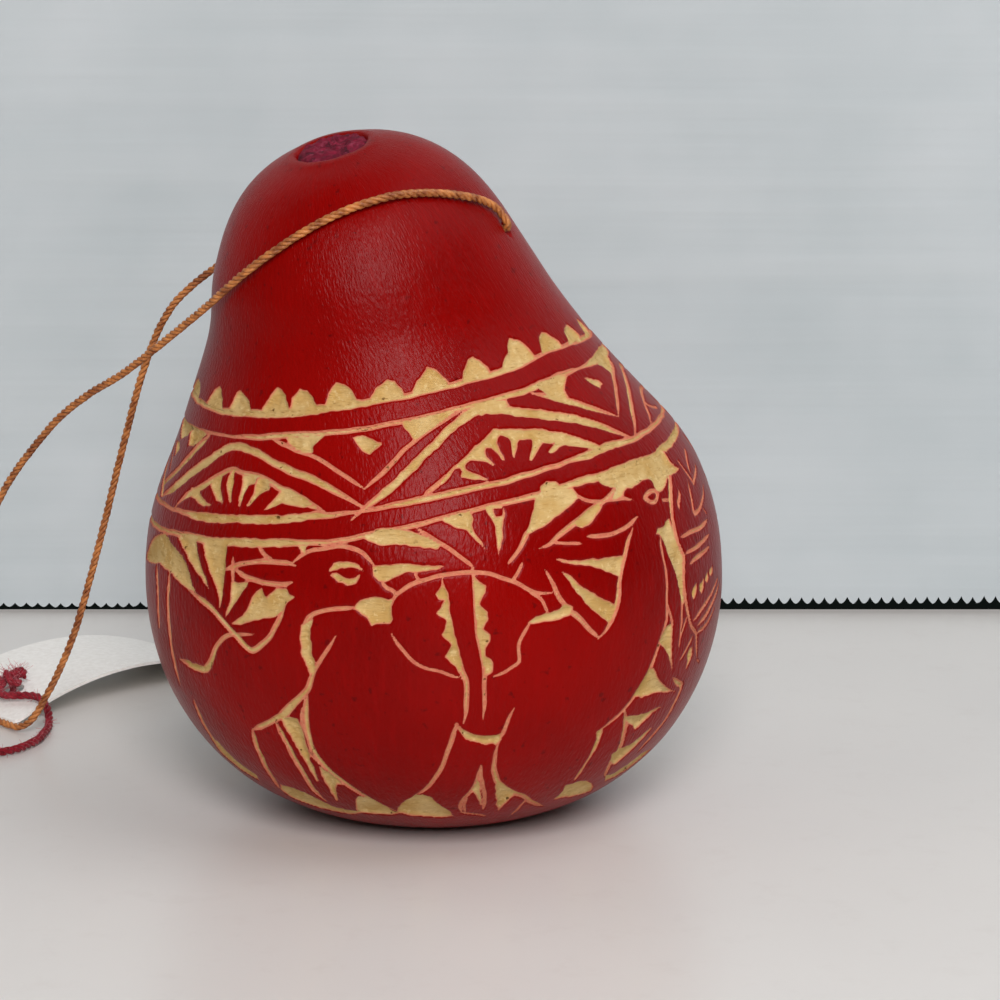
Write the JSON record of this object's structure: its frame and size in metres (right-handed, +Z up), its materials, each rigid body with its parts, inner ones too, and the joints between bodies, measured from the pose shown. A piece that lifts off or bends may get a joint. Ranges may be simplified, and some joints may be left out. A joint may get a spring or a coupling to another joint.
{
  "type": "carved gourd ornament",
  "caption": "Small hand-carved, red-dyed dried gourd with a twisted hanging cord, a wool-tied paper hang tag and loose seeds inside.",
  "frame": {"origin": "centre of the flat foot, on the surface that the gourd stands on", "axes": "+Z up through the belly, +X to the right and +Y away from the viewer of the picture; the neck leans towards -X"},
  "size_m": [0.1226, 0.1126, 0.0856],
  "materials": {
    "dyed_rind": "red aniline dye under clear gloss lacquer, cut through to the pale rind",
    "cork": "rough dyed cork",
    "seed_coat": "dry and matt",
    "pith": "papery and matt",
    "waxed_cord": "two-ply twist, waxed",
    "card": "uncoated white paper card",
    "wool_yarn": "fuzzy spun wool"
  },
  "bodies": {
    "gourd": {"gourd_shell": "dyed_rind", "stem_scar": "cork", "cord_inside": "waxed_cord", "cord_front_strand": "waxed_cord", "cord_back_strand": "waxed_cord", "cord_knot": "waxed_cord", "hang_tag": "card", "tag_yarn": "wool_yarn", "yarn_knot": "wool_yarn"},
    "loose_seeds": {"dried_seeds": "seed_coat", "dried_pith": "pith"}
  },
  "joints": [
    {"name": "seed_rattle", "type": "slide", "parent": "gourd", "child": "loose_seeds", "axis": [0, 0, 1], "range_m": [0, 0.03]}
  ]
}
